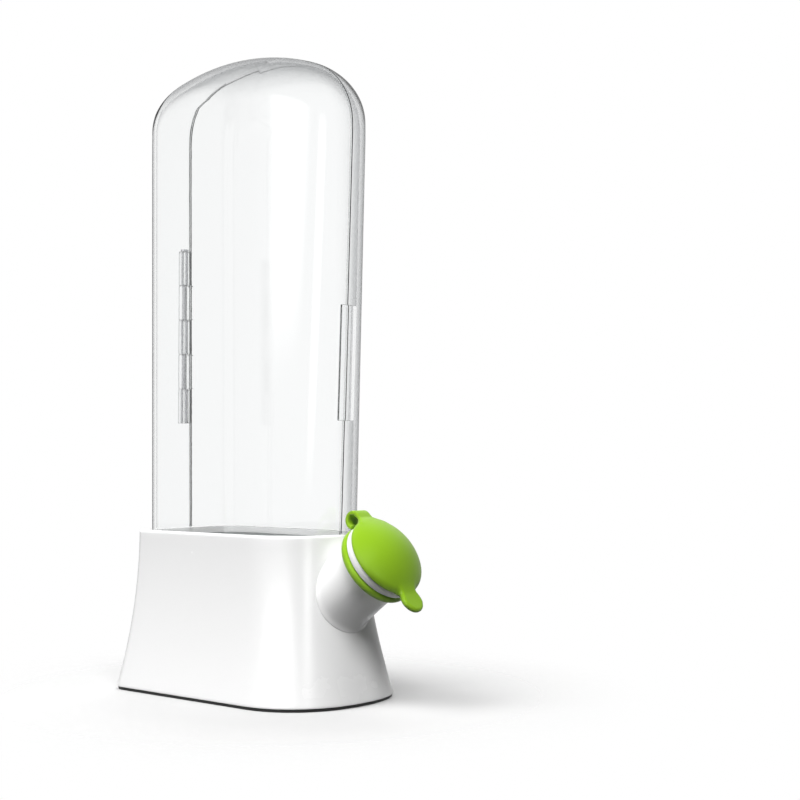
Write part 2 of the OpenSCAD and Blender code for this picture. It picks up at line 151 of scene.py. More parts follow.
def ring(v, z):
    """A whole outline as points at height z."""
    o = outline(v)
    return np.column_stack([o, np.full(len(o), z)])


print("points in an outline:", len(outline(pod_at(RIM_Z))))

# %% [markdown]
# ## From points to a mesh
# A grid of points becomes faces by joining each point with its neighbours along both directions.
# Whole arrays of indices make all the faces at once. Doubles are merged and the normals are
# recalculated afterwards, so that seams and poles are closed and every face points outwards.

# %% Helpers that turn grids into objects
import bmesh

MERGE = 0.001 * MM


def grid_faces(rows, cols, close_rows=False, close_cols=False, start=0):
    """Four-cornered faces of a grid: point (i, j) joins (i, j+1), (i+1, j+1) and (i+1, j)."""
    i = np.arange(rows if close_rows else rows - 1)[:, None]
    j = np.arange(cols if close_cols else cols - 1)[None, :]
    above, beside = (i + 1) % rows, (j + 1) % cols
    corners = [i * cols + j, i * cols + beside, above * cols + beside, above * cols + j]
    return np.stack(np.broadcast_arrays(*corners), -1).reshape(-1, 4) + start


def shade(piece, angle):
    """Smooth shading, with edges sharper than the angle, in degrees, kept crisp."""
    mesh = piece.data
    mesh.polygons.foreach_set("use_smooth", np.ones(len(mesh.polygons), bool))
    mesh.set_sharp_from_angle(angle=np.radians(angle))


def as_object(name, points, faces, material, body, smooth=40):
    """A mesh object from points in millimetres and faces: closed, facing outwards and shaded smooth."""
    mesh = bpy.data.meshes.new(name)
    mesh.from_pydata((np.asarray(points, float) * MM).tolist(), [], [list(f) for f in faces])
    b = bmesh.new()
    b.from_mesh(mesh)
    bmesh.ops.remove_doubles(b, verts=b.verts, dist=MERGE)
    bmesh.ops.dissolve_degenerate(b, edges=b.edges, dist=MERGE)
    bmesh.ops.recalc_face_normals(b, faces=b.faces)
    b.to_mesh(mesh)
    b.free()
    piece = bpy.data.objects.new(name, mesh)
    bpy.context.scene.collection.objects.link(piece)
    mesh.materials.append(material)
    shade(piece, smooth)
    if body:
        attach(piece, body)
    print(f"{name}: {len(mesh.polygons)} faces")
    return piece


# %% [markdown]
# A piece is either a stack of rings with a flat face at each end, as a rod is, or a stack that
# closes on itself, as a tube with a wall does: out, over the edge and back along the inside.

# %% Objects from a stack of rings
def as_rod(name, rows, material, body):
    """An object from a stack of rings with one many-cornered face at each end."""
    m, n = rows.shape[:2]
    ends = [list(range(n))[::-1], list(range((m - 1) * n, m * n))]
    faces = grid_faces(m, n, False, True).tolist() + ends
    return as_object(name, rows.reshape(-1, 3), faces, material, body)


def as_tube(name, rows, material, body, smooth=40):
    """An object from a stack of rings whose last ring joins the first."""
    faces = grid_faces(*rows.shape[:2], True, True)
    return as_object(name, rows.reshape(-1, 3), faces, material, body, smooth)


print("points closer than", round(MERGE / MM, 4), "mm become one")

# %% [markdown]
# ## Finishes
# Four materials do most of the work: a glossy white moulding with a faint orange-peel ripple, a
# clear moulding that bends light, soft green silicone with a satin skin and a faint dusty sheen,
# and dark rubber. Two effects are shared by several of them, so each is a node group that is built
# once: a fine ripple of the surface, and a soft variation of roughness from handling.

# %% Node helpers
def new_group(name, inputs, outputs):
    """A shader node group with named number inputs and outputs, and its two end nodes."""
    g = bpy.data.node_groups.new(name, "ShaderNodeTree")
    for label, default in inputs:
        s = g.interface.new_socket(label, in_out="INPUT", socket_type="NodeSocketFloat")
        s.default_value = default
    for label in outputs:
        g.interface.new_socket(label, in_out="OUTPUT", socket_type="NodeSocketFloat")
    return g, g.nodes.new("NodeGroupInput"), g.nodes.new("NodeGroupOutput")


def add(tree, kind, **settings):
    """A node of that kind; settings named in_X go to the input socket X, the rest to the node."""
    n = tree.nodes.new(kind)
    for key, value in settings.items():
        if key.startswith("in_"):
            n.inputs[key[3:].replace("_", " ")].default_value = value
        else:
            setattr(n, key, value)
    return n


def times(tree, value, factor):
    """A node's output multiplied by a plain number."""
    n = add(tree, "ShaderNodeMath", operation="MULTIPLY")
    n.inputs[1].default_value = factor
    tree.links.new(value, n.inputs[0])
    return n.outputs[0]


print("node helpers are ready")

# %% [markdown]
# Both groups read noise at Object coordinates, so a pattern keeps its place and size on a piece.
# Each puts out plain numbers, for a material's colour, roughness or bump.

# %% The two shared groups
FINER, FINER_SHARE = 5.0, 0.25
PATCH_LOW, PATCH_HIGH = 0.3, 0.7


def skin_group():
    """Skin: height = depth * (noise at one scale + a quarter of noise at five times that scale)."""
    g, start, end = new_group("moulded_skin", [("Scale", 400.0), ("Depth", 1.0)], ["Height", "Fine"])
    place = add(g, "ShaderNodeTexCoord")
    coarse = add(g, "ShaderNodeTexNoise", in_Detail=2.0)
    fine = add(g, "ShaderNodeTexNoise", in_Detail=2.0)
    both = add(g, "ShaderNodeMath", operation="MULTIPLY_ADD")
    both.inputs[1].default_value = FINER_SHARE
    deep = add(g, "ShaderNodeMath", operation="MULTIPLY")
    link = g.links.new
    link(place.outputs["Object"], coarse.inputs["Vector"])
    link(place.outputs["Object"], fine.inputs["Vector"])
    link(start.outputs["Scale"], coarse.inputs["Scale"])
    link(times(g, start.outputs["Scale"], FINER), fine.inputs["Scale"])
    link(fine.outputs["Fac"], both.inputs[0])
    link(coarse.outputs["Fac"], both.inputs[2])
    link(both.outputs[0], deep.inputs[0])
    link(start.outputs["Depth"], deep.inputs[1])
    link(deep.outputs[0], end.inputs["Height"])
    link(fine.outputs["Fac"], end.inputs["Fine"])
    return g


def handling_group():
    """Handling: a value that drifts between Low and High in soft patches, as touch leaves a surface."""
    g, start, end = new_group("handling", [("Scale", 30.0), ("Low", 0.1), ("High", 0.2)], ["Value"])
    place = add(g, "ShaderNodeTexCoord")
    patches = add(g, "ShaderNodeTexNoise", in_Detail=4.0, in_Roughness=0.6)
    spread = add(g, "ShaderNodeMapRange", in_From_Min=PATCH_LOW, in_From_Max=PATCH_HIGH)
    link = g.links.new
    link(place.outputs["Object"], patches.inputs["Vector"])
    link(start.outputs["Scale"], patches.inputs["Scale"])
    link(patches.outputs["Fac"], spread.inputs["Value"])
    link(start.outputs["Low"], spread.inputs["To Min"])
    link(start.outputs["High"], spread.inputs["To Max"])
    link(spread.outputs[0], end.inputs["Value"])
    return g


SKIN, HANDLING = skin_group(), handling_group()
print("shared effects:", SKIN.name, HANDLING.name)

# %% [markdown]
# A material starts from one Principled shader. The colour is mixed from two close tones by the
# fine noise, so that no surface is one flat value. Bump strength stays small: a moulding's skin is
# a few micrometres deep, and shows only in the highlights.

# %% What every material starts with
def new_material(name):
    """A material with nodes, its node tree and the Principled shader in it."""
    m = bpy.data.materials.new(name)
    m.use_nodes = True
    return m, m.node_tree, m.node_tree.nodes["Principled BSDF"]


def two_tones(tree, share, first, second):
    """Output of a mix of two colours: the first at share 0, the second at share 1."""
    tones = add(tree, "ShaderNodeMix", data_type="RGBA", in_A=(*first, 1), in_B=(*second, 1))
    tree.links.new(share, tones.inputs["Factor"])
    return tones.outputs["Result"]


def add_skin(tree, shader, scale, strength, depth):
    """The skin as a bump of the shader, depth in metres; gives back its fine noise for the tones."""
    skin = add(tree, "ShaderNodeGroup", node_tree=SKIN, in_Scale=scale)
    bump = add(tree, "ShaderNodeBump", in_Strength=strength, in_Distance=depth)
    tree.links.new(skin.outputs["Height"], bump.inputs["Height"])
    tree.links.new(bump.outputs["Normal"], shader.inputs["Normal"])
    return skin.outputs["Fine"]


def add_handling(tree, shader, low, high, scale):
    """Roughness of the shader between low and high, in patches of handling."""
    touch = add(tree, "ShaderNodeGroup", node_tree=HANDLING, in_Scale=scale, in_Low=low, in_High=high)
    tree.links.new(touch.outputs["Value"], shader.inputs["Roughness"])


print("sockets of the skin:", [socket.name for socket in SKIN.interface.items_tree])

# %% [markdown]
# The white shell is bright, with a thin, sharper gloss on top. Silicone bends light less than hard
# plastic, and dust makes it glow faintly at its edges, which a little sheen gives. The seal is
# grey and the hidden pin is steel. The foot is nearly black, which is painted shade for the gap
# under the base's edge.

# %% The moulded finishes
SKIN_DEPTH, PATCH_SCALE = 0.0001, 30.0


def moulded(name, colour, second, rough, skin_scale, bump, **sockets):
    """A moulded finish: two tones mixed by fine noise, roughness between two values, a rippled skin."""
    m, t, shader = new_material(name)
    fine = add_skin(t, shader, skin_scale, bump, SKIN_DEPTH)
    add_handling(t, shader, *rough, PATCH_SCALE)
    t.links.new(two_tones(t, fine, colour, second), shader.inputs["Base Color"])
    for key, value in sockets.items():
        shader.inputs[key.replace("_", " ")].default_value = value
    m.diffuse_color = (*colour, 1)
    return m


white_shell = moulded("white_shell", (0.86, 0.86, 0.86), (0.83, 0.83, 0.83), (0.2, 0.28), 500, 0.06,
                      IOR=1.5, Coat_Weight=0.3, Coat_Roughness=0.14)
green_silicone = moulded("green_silicone", (0.235, 0.43, 0.007), (0.21, 0.4, 0.006), (0.38, 0.5), 900,
                         0.12, IOR=1.41, Sheen_Weight=0.15, Sheen_Roughness=0.5)
seal_rubber = moulded("seal_rubber", (0.34, 0.36, 0.36), (0.3, 0.32, 0.32), (0.4, 0.5), 900, 0.1, IOR=1.45)
# the foot's near-black colour is painted shade: it darkens the gap under the base's edge
foot_rubber_painted_shade = moulded("foot_rubber_painted_shade", (0.006, 0.006, 0.006), (0.01, 0.01, 0.01), (0.55, 0.7), 900, 0.2,
                      IOR=1.5)
steel_pin = moulded("steel_pin", (0.55, 0.55, 0.57), (0.5, 0.5, 0.52), (0.2, 0.3), 1500, 0.1, Metallic=1.0)
moulded_finishes = (white_shell, green_silicone, seal_rubber, foot_rubber_painted_shade, steel_pin)
print("moulded finishes:", [m.name for m in moulded_finishes])

# %% [markdown]
# The pod is moulded from a clear plastic that bends light like acrylic. Where the eye looks along
# the wall instead of through it, a studio shot shows a grey rim, since the way through the plastic
# is longer and the bent light comes from beside the white backdrop. The colour therefore falls from
# nearly white to grey as the surface turns away. A refracting solid throws a hard, dark shadow in a
# path tracer, and real thin plastic doesn't, so shadow rays pass mostly straight through.

# %% Helpers that choose by the kind of ray
def any_ray(tree, *kinds):
    """1 for a ray of one of these kinds and 0 for any other: the maximum of Light Path's outputs."""
    path = add(tree, "ShaderNodeLightPath")
    value = path.outputs[kinds[0]]
    for kind in kinds[1:]:
        larger = add(tree, "ShaderNodeMath", operation="MAXIMUM")
        tree.links.new(value, larger.inputs[0])
        tree.links.new(path.outputs[kind], larger.inputs[1])
        value = larger.outputs[0]
    return value


def mixed(tree, share, first, second):
    """Output of a mix of two shaders: the first at share 0, the second at share 1."""
    n = add(tree, "ShaderNodeMixShader")
    tree.links.new(share, n.inputs["Fac"])
    tree.links.new(first, n.inputs[1])
    tree.links.new(second, n.inputs[2])
    return n.outputs[0]


print("helpers for kinds of rays are ready")

# %% The clear moulding
CLEAR_TINT, CLEAR_RIM = (0.985, 0.99, 0.99), (0.2, 0.21, 0.22)
RIM_FROM, RIM_TO = 0.26, 0.88
SHADOW_SHARE = 0.92


def clear_moulding(name):
    """Clear plastic: colour from tint to rim as facing = 1 - cos(angle to the eye) goes from RIM_FROM
    to RIM_TO, faint handling marks and waves; a share of each shadow ray passes."""
    m, t, shader = new_material(name)
    turned_away = add(t, "ShaderNodeLayerWeight", in_Blend=0.5)
    rim_share = add(t, "ShaderNodeMapRange", interpolation_type="SMOOTHSTEP", in_From_Min=RIM_FROM,
                    in_From_Max=RIM_TO)
    t.links.new(turned_away.outputs["Facing"], rim_share.inputs["Value"])
    t.links.new(two_tones(t, rim_share.outputs[0], CLEAR_TINT, CLEAR_RIM), shader.inputs["Base Color"])
    shader.inputs["Transmission Weight"].default_value = 1.0
    shader.inputs["IOR"].default_value = 1.49
    add_handling(t, shader, 0.0, 0.035, 18.0)
    add_skin(t, shader, 45.0, 0.05, 0.0004)
    share = times(t, any_ray(t, "Is Shadow Ray"), SHADOW_SHARE)
    through = add(t, "ShaderNodeBsdfTransparent")
    surface = mixed(t, share, shader.outputs[0], through.outputs[0])
    t.links.new(surface, t.nodes["Material Output"].inputs["Surface"])
    m.diffuse_color = (*CLEAR_TINT, 0.35)
    return m


clear_shell = clear_moulding("clear_shell")
print("clear finish:", clear_shell.name)

# %% [markdown]
# ## The base
# The real base is one white shell with a concave flare: its sides spread ever faster towards the
# floor. So the outline goes from the rim's to the foot's by a power of the way down. The mouth is
# the pod's own outline with a little room, and the rim is a fixed width round it.

# %% Outline of the base at any height
RIM_W, RIM_CORNER, MOUTH_GAP = 2.8, 4.5, 0.4
MOUTH = inset(pod_at(RIM_Z), -MOUTH_GAP)
AT_RIM = np.array([MOUTH[0] + RIM_W, MOUTH[1] + RIM_W, RIM_CORNER, NOSE_FROM, MOUTH[4] + RIM_W, ELLIPSE])
AT_FOOT = np.array([63.3, 38.8, 8.0, 20.8, 54.3, 2.26])
FLARE = np.array([2, 2, 2, 1, 1.7, 1])


def base_at(z):
    """Base outline at z: from the rim's to the foot's, each number by its own power of the way down."""
    t = np.clip((RIM_Z - np.asarray(z, float)) / (RIM_Z - FOOT_H), 0, 1)[..., None]
    return AT_RIM + (AT_FOOT - AT_RIM) * t ** FLARE


print("half width at the rim and half way down:", np.round(base_at([RIM_Z, RIM_Z / 2])[:, 1], 1), "mm")

# %% [markdown]
# The shell is a stack of these outlines that runs up the outside, over the rounded rim, down into
# the mouth past the groove of the soft seal, and down the inside again, so it closes on itself.

# %% The housing
RIM_ROUND, BASE_WALL, GROOVE = 1.2, 2.6, 1.2
GROOVE_TOP, GROOVE_LOW, MOUTH_LOW, INSIDE_TOP = RIM_Z - 3, RIM_Z - 6, RIM_Z - 8, RIM_Z - 11
OUTSIDE_FROM, OUTSIDE_N, INSIDE_N, RIM_STEP, WHITE_ANGLE = FOOT_H + 1.2, 44, 24, 11.25, 35
SOFT_EDGE = ((0.5, 0.0), (0.15, 0.15), (0.0, 0.5))


def housing_rings():
    """Rings up the outside, over the rim by a quarter circle, into the mouth and down the inside.
    SOFT_EDGE rounds an edge: how far it is drawn in, and how far along that is."""
    rows = [ring(inset(base_at(FOOT_H + up), d), FOOT_H + up) for d, up in SOFT_EDGE]
    rows += [ring(base_at(z), z) for z in np.linspace(OUTSIDE_FROM, RIM_Z - RIM_ROUND, OUTSIDE_N)]
    for a in np.radians(np.arange(RIM_STEP, 91, RIM_STEP)):
        z = RIM_Z - RIM_ROUND * (1 - np.sin(a))
        rows.append(ring(inset(base_at(z), RIM_ROUND * (1 - np.cos(a))), z))
    rows += [ring(inset(MOUTH, -d), RIM_Z - below) for d, below in SOFT_EDGE]
    groove = ((0, GROOVE_TOP), (GROOVE, GROOVE_TOP), (GROOVE, GROOVE_LOW), (0, GROOVE_LOW), (0, MOUTH_LOW))
    rows += [ring(inset(MOUTH, -d), z) for d, z in groove]
    rows += [ring(inset(base_at(z), BASE_WALL), z) for z in np.linspace(INSIDE_TOP, FOOT_H, INSIDE_N)]
    return np.array(rows)


housing = as_tube("housing", housing_rings(), white_shell, None)

# %% [markdown]
# ## The spout's own frame
# The spout, its ring and its cap are round about one slanted axis, which leaves the nose 55 degrees
# from upright. Points are worked out as (distance along the axis, height up the seat, sideways) and
# then placed in the room. The bore is cut through the base's wall with a boolean.

# %% Axis of the spout, and shapes round it
LEAN = np.radians(55)
SEAT = np.array([65.1, 0.0, 61.9])
AXIS = np.array([np.sin(LEAN), 0, np.cos(LEAN)])
UP = np.array([-np.cos(LEAN), 0, np.sin(LEAN)])
SIDEWAYS = np.array([0, 1.0, 0])
BORE_R, BORE_FROM, BORE_TO = 11.3, -40, 4
TURNS = 128
ROUND = np.arange(TURNS) * 2 * np.pi / TURNS


def in_room(s, u, w):
    """Place in the room of a point s along the axis, u up the seat and w sideways."""
    s, u, w = np.broadcast_arrays(s, u, w)
    return SEAT + s[..., None] * AXIS + u[..., None] * UP + w[..., None] * SIDEWAYS


def turned(s, r):
    """Rows of points: each (s, r) pair turned once round the axis. Either may hold a value per turn."""
    s, r = (np.broadcast_to(np.asarray(q, float).reshape(len(q), -1), (len(q), TURNS)) for q in (s, r))
    return in_room(s, r * np.cos(ROUND), r * np.sin(ROUND))


def with_boolean(piece, cutter, operation):
    """The piece joined with the cutter, or cut by it, as a plain mesh; the cutter is removed."""
    m = piece.modifiers.new("solid", "BOOLEAN")
    m.operation, m.object, m.solver = operation, cutter, "EXACT"
    bpy.context.view_layer.update()
    done = bpy.data.meshes.new_from_object(piece.evaluated_get(bpy.context.evaluated_depsgraph_get()))
    piece.modifiers.clear()
    old, piece.data = piece.data, done
    bpy.data.meshes.remove(old)
    bpy.data.objects.remove(cutter)


cutter = as_rod("bore_cutter", turned([BORE_FROM, BORE_TO], [BORE_R, BORE_R]), white_shell, None)
with_boolean(housing, cutter, "DIFFERENCE")
shade(housing, WHITE_ANGLE)
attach(housing, "base")
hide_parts("base_housing")
print("housing with its bore:", len(housing.data.polygons), "faces")

# %% [markdown]
# ## The filling spout
# The neck is a tube that spreads where it meets the wall. Each line down the neck ends where it
# meets the base's curved nose, and that place is found by halving an interval again and again for
# all the lines at once. The last millimetres flare out into a small fillet.

# %% Where the neck meets the wall
NECK_R, FLARE_R, NECK_DEPTH = 14.8, 15.8, 34.0
LIP_R, LIP_T, RING_R, RING_T = 17.5, 3.4, 17.9, 4.4
NECK_TOP = LIP_T + RING_T + 0.4
ABOVE_WALL, BELOW_WALL, HALVINGS = -4.0, -38.0, 40


def neck_radius(s):
    """Radius of the neck: NECK_R, growing with the square of the way to its end."""
    t = np.clip((-NECK_TOP - s) / (NECK_DEPTH - NECK_TOP), 0, 1)
    return mix(NECK_R, FLARE_R, t ** 2)


def wall_at(radius):
    """Depth along the axis at which each line of a tube of that radius passes through the nose."""
    near, far = np.full(TURNS, ABOVE_WALL), np.full(TURNS, BELOW_WALL)
    for _ in range(HALVINGS):
        s = (near + far) / 2
        r = radius(s)
        x, y, z = np.moveaxis(in_room(s, r * np.cos(ROUND), r * np.sin(ROUND)), -1, 0)
        v = np.moveaxis(base_at(z), -1, 0)
        outside = (np.clip(x - v[3], 0, None) / (v[4] - v[3])) ** v[5] + (np.abs(y) / v[1]) ** v[5] > 1
        near, far = np.where(outside, s, near), np.where(outside, far, s)
    return (near + far) / 2


neck_end, bore_end = wall_at(neck_radius), wall_at(lambda s: np.full_like(s, BORE_R))
print("the neck meets the wall", np.round([-neck_end.max(), -neck_end.min()], 1), "mm down its axis")

# %% [markdown]
# The spout's profile starts in the bore, goes over the flat seat and round the lip's edge, down the
# neck and a little way into the wall, where nobody sees it, and comes back up the bore.

# %% The spout itself
FILLET, INTO_WALL, NECK_ROWS = 0.9, 1.2, 28
lip = np.array([(-0.4, BORE_R), (-0.12, BORE_R + 0.12), (0, BORE_R + 0.4), (0, LIP_R - 0.5),
                (-0.08, LIP_R - 0.22), (-0.25, LIP_R - 0.08), (-0.5, LIP_R), (0.5 - LIP_T, LIP_R),
                (0.2 - LIP_T, LIP_R - 0.1), (-LIP_T, LIP_R - 0.5), (-LIP_T, NECK_R + 0.3),
                (-LIP_T - 0.4, NECK_R)])
down = mix(-LIP_T - RING_T - 0.2, neck_end, np.linspace(0, 1, NECK_ROWS)[:, None])
flaring = neck_radius(down) + FILLET * np.exp(-(down - neck_end) / FILLET)
wide = np.ones(TURNS)
s_rows = np.concatenate([lip[:, :1] * wide, down, [neck_end - INTO_WALL], [bore_end - INTO_WALL]])
r_rows = np.concatenate([lip[:, 1:] * wide, flaring, [flaring[-1]], [BORE_R * wide]])
spout = as_tube("spout", turned(s_rows, r_rows), white_shell, "base", WHITE_ANGLE)
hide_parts("filling_spout")

# %% [markdown]
# ## The ring round the neck
# A soft ring under the lip holds the cap's strap. Its outside is a half round, so it is one
# profile turned round the spout's axis.

# %% The green ring
RING_GAP = 0.1
half_t = RING_T / 2 - RING_GAP
arc = np.radians(np.linspace(-90, 90, 19))
mid_s = -LIP_T - RING_T / 2
ring_s = np.concatenate([[mid_s - half_t], mid_s + half_t * np.sin(arc), [mid_s + half_t]])
ring_r = np.concatenate([[NECK_R + RING_GAP], RING_R - half_t + half_t * np.cos(arc), [NECK_R + RING_GAP]])
neck_ring = as_tube("neck_ring", turned(ring_s, ring_r), green_silicone, "base")
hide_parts("cap_ring")

# %% [markdown]
# ## The strap's loop
# The strap leaves the ring, loops back over itself and runs straight to the cap. It is a rounded
# strip carried along a line: at each point of the line the strip's section lies square to it. Where
# the cap opens, the real strap bends.

# %% A section carried along a line
STRAP_W, STRAP_T, STRAP_EDGE = 8.0, 1.7, 0.55


def rounded_section(width, height, r, n=6):
    """Corners of a rounded rectangle: a quarter circle of radius r at each corner, once round."""
    a = np.linspace(0, np.pi / 2, n)
    quarter = np.stack([width / 2 - r + r * np.cos(a), height / 2 - r + r * np.sin(a)], 1)
    other = quarter[::-1] * [-1, 1]
    return np.concatenate([quarter, other, -quarter, -other])


def strip(line, section):
    """A section carried along a line in X and Z: width along Y, height along the line's normal."""
    step = np.gradient(line, axis=0)
    step /= np.linalg.norm(step, axis=1)[:, None]
    normal = np.stack([-step[:, 1], step[:, 0]], 1)
    x = line[:, None, 0] + normal[:, None, 0] * section[None, :, 1]
    z = line[:, None, 1] + normal[:, None, 1] * section[None, :, 1]
    y = np.broadcast_to(section[None, :, 0], x.shape)
    return np.stack([x, y, z], -1)


strap_section = rounded_section(STRAP_W, STRAP_T, STRAP_EDGE)
print("points round the strap's section:", len(strap_section))

# %% The looped strap
LOOP_R, LOOP_BACK, LOOP_SINK = 4.0, 0.2, 1.2
TURN_FROM, TURN_TO, BEND_FROM, BEND_TO, FALL = np.radians([-98, -312, 185, 95, 48])
RUN_FROM, RUN_TO = 0.25, 3.6
LOOP = (SEAT - (LIP_T + LOOP_BACK) * AXIS + (RING_R + LOOP_R - LOOP_SINK) * UP)[[0, 2]]
SLOPE = np.array([np.sin(FALL), -np.cos(FALL)])


def on_loop(a):
    """Points of the loop's middle line at the angles a: middle + radius * (cos(a), sin(a))."""
    return LOOP + (LOOP_R - STRAP_T / 2) * np.stack([np.cos(a), np.sin(a)], -1)


loop_line = on_loop(np.linspace(TURN_FROM, TURN_TO, 44))
slope_line = loop_line[-1] + np.linspace(RUN_FROM, RUN_TO, 12)[:, None] * SLOPE
strap_rows = strip(np.concatenate([loop_line, slope_line]), strap_section)
strap = as_rod("strap", strap_rows, green_silicone, None)
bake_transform(strap)
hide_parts("cap_strap")

# %% [markdown]
# ## The cap
# The cap is one soft moulding: a dome, a plug below it, a lug that the strap grows from and a pull
# tab, all blended by small fillets. Grids can't blend into each other like that. So the cap is
# written as a distance: a number that is negative inside the silicone and positive outside. Two
# such numbers blend softly by a rounded minimum, and the surface where the result is zero is then
# turned into faces, cell by cell, with whole arrays.

# %% Soft blends of two distances
def soft_min(a, b, k):
    """Rounded minimum: min(a, b) less k/4 times the square of how nearly equal the two are. The
    rounding is as wide as k, in millimetres."""
    h = np.clip(k - np.abs(a - b), 0, None) / k
    return np.minimum(a, b) - h * h * k / 4


def soft_max(a, b, k):
    """Rounded maximum, the mirror image of the rounded minimum."""
    return -soft_min(-a, -b, k)


print("1 and 1 blend to", soft_min(1.0, 1.0, 0.8), "over 0.8 mm")

# %% [markdown]
# Each part of the cap is a distance of its own, in the spout's frame: s along the axis, u up the
# seat, w sideways and r away from the axis. The last number of each blend is its rounding.

# %% The dome and the plug
CAP_R, CAP_SIDE, CAP_DOME, DOME_IN, SEAT_GAP = 18.0, 2.6, 6.7, 0.7, 0.08
PLUG_GAP, PLUG_TAPER, PLUG_LEN = 0.3, 1.6, 7.0


def dome_distance(s, r):
    """The top of a ball whose radius follows from its width and rise, cut off at the rim and the seat."""
    ball = ((CAP_R - DOME_IN) ** 2 + CAP_DOME ** 2) / (2 * CAP_DOME)
    dome = np.hypot(r, s - (CAP_SIDE + CAP_DOME - ball)) - ball
    return soft_max(soft_max(dome, r - CAP_R, 1.6), SEAT_GAP - s, 0.7)


def plug_distance(s, r):
    """A cone that narrows by PLUG_TAPER down the bore, with a rounded end; it starts in the dome."""
    taper = BORE_R - PLUG_GAP - PLUG_TAPER * np.clip(-s / PLUG_LEN, 0, 1)
    return soft_max(soft_max(r - taper, -PLUG_LEN - s, 1.2), s - 1.5, 0.2)


print("gap between plug and bore:", PLUG_GAP, "mm at the seat")

# %% [markdown]
# The tab is a round tongue on a narrower neck, and lifts a little towards its end. The lug follows
# the strap's own slope, starts a little thinner than the strap and widens towards the dome.

# %% The tab, the lug and the whole cap
TAB_W, TAB_LEN, TAB_T, TAB_NECK_W, TAB_LIFT, TAB_UP = 10.8, 9.3, 2.6, 7.2, 0.3, 0.5
LUG_W, LUG_LEN, LUG_THIN = 12.6, 5.0, 0.25
LUG_FROM = loop_line[-1] + 1.0 * SLOPE


def tab_distance(s, u, w):
    """A tongue with a round end and its neck, between two faces TAB_T apart that curve up."""
    out = np.clip((-u - CAP_R + 1) / TAB_LEN, 0, 1)
    middle = TAB_UP + TAB_T / 2 + TAB_LIFT * out ** 1.5
    tongue = np.hypot(u + CAP_R + TAB_LEN - TAB_W / 2, w) - TAB_W / 2
    neck = np.maximum(np.abs(w) - TAB_NECK_W / 2, np.maximum(u + CAP_R - 4, -u - CAP_R - TAB_LEN + TAB_W / 2))
    return soft_max(soft_min(tongue, neck, 3.0), np.abs(s - middle) - TAB_T / 2, 1.5)


def lug_distance(p):
    """A strip along the strap's slope: thickness and width grow with powers of the way along it."""
    q = p[..., [0, 2]] - LUG_FROM
    along, off = q @ SLOPE, q @ np.array([-SLOPE[1], SLOPE[0]])
    part = np.clip(along / LUG_LEN, 0, 1)
    lug = soft_max(np.abs(off) - STRAP_T / 2 + LUG_THIN * (1 - part) ** 4,
                   np.abs(p[..., 1]) - mix(STRAP_W / 2 - LUG_THIN, LUG_W / 2, part ** 1.5), 0.9)
    return soft_max(lug, np.maximum(-along, along - LUG_LEN), 0.3)


def cap_distance(p):
    """Signed distance to the cap at points in the room: the dome, plug, tab and lug, blended."""
    d = p - SEAT
    s, u, w = d @ AXIS, d @ UP, d[..., 1]
    r = np.hypot(u, w)
    body = soft_min(dome_distance(s, r), plug_distance(s, r), 0.8)
    return soft_min(soft_min(body, tab_distance(s, u, w), 2.2), lug_distance(p), 2.4)


print("distance at the middle of the cap:", round(float(cap_distance(SEAT + 3 * AXIS)), 2), "mm")

# %% [markdown]
# The faces come from a grid of cells. A cell that the surface passes through gets one point, and
# each grid line that the surface crosses gets one face between the four cells round it. The points
# then slide along the slope of the distance until they lie on the surface itself.

# %% From a distance to a mesh
SLIDES, LEAST_SLOPE = 6, 0.2


def slide(distance, points, cell):
    """Points moved by distance * slope / slope squared, where slope is taken by small differences."""
    step = cell * 0.05
    slope = np.stack([distance(points + step * e) - distance(points - step * e) for e in np.eye(3)], -1)
    slope /= 2 * step
    move = distance(points)[:, None] * slope / np.clip((slope ** 2).sum(1), LEAST_SLOPE, None)[:, None]
    return points - np.clip(move, -cell / 2, cell / 2)


def surface_of(distance, low, high, cell):
    """Faces where the distance is zero: one point per crossed cell, one face per crossed grid line."""
    axes = [np.arange(a, b + cell, cell) for a, b in zip(low, high)]
    grid = np.stack(np.meshgrid(*axes, indexing="ij"), -1)
    inside = distance(grid) < 0
    n = np.array(inside.shape) - 1
    corners = sum(inside[i:i + n[0], j:j + n[1], k:k + n[2]].astype(int)
                  for i in (0, 1) for j in (0, 1) for k in (0, 1))
    crossed = (corners > 0) & (corners < 8)
    number = np.full(crossed.shape, -1)
    number[crossed] = np.arange(crossed.sum())
    points = grid[:-1, :-1, :-1][crossed] + cell / 2
    for _ in range(SLIDES):
        points = slide(distance, points, cell)
    faces = []
    for axis in range(3):
        a, b = [np.moveaxis(inside, axis, 0)[i:j] for i, j in ((0, -1), (1, None))]
        a, b = a[:, 1:-1, 1:-1], b[:, 1:-1, 1:-1]
        cells = np.moveaxis(number, axis, 0)
        quad = np.stack([cells[:, :-1, :-1], cells[:, 1:, :-1], cells[:, 1:, 1:], cells[:, :-1, 1:]], -1)
        faces += [quad[a & ~b], quad[b & ~a][:, ::-1]]
    return points, np.concatenate(faces)


CAP_LOW, CAP_HIGH, CELL = (LUG_FROM[0] - 2, -19.5, 37.0), (87.0, 19.5, 84.0), 0.42
points, faces = surface_of(cap_distance, CAP_LOW, CAP_HIGH, CELL)
cap = as_object("cap", points, faces.tolist(), green_silicone, "cap", smooth=60)
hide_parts("filler_cap")

# %% [markdown]
# ## The clear pod
# Each half of the pod is a thin shell whose wall follows the outline up to the shoulder and then
# closes in a rounded top: the outline shrinks as the height rises along a quarter of a
# superellipse, and the ridge itself follows the crown. The rows lie closer near the ridge, where
# the surface turns fastest.

# %% Rows of a half shell
WALL_ROWS, LAST_ROW = 8, 1.0


def wall_row(z, d, y0):
    """Half outline at height z, drawn in by d, from the plane y = y0 outwards."""
    v = inset(pod_at(z), d)
    h = half_outline(v)
    return np.column_stack([h[:, 0], y0 + h[:, 1] * (v[1] - y0) / v[1], np.full(len(h), z)])


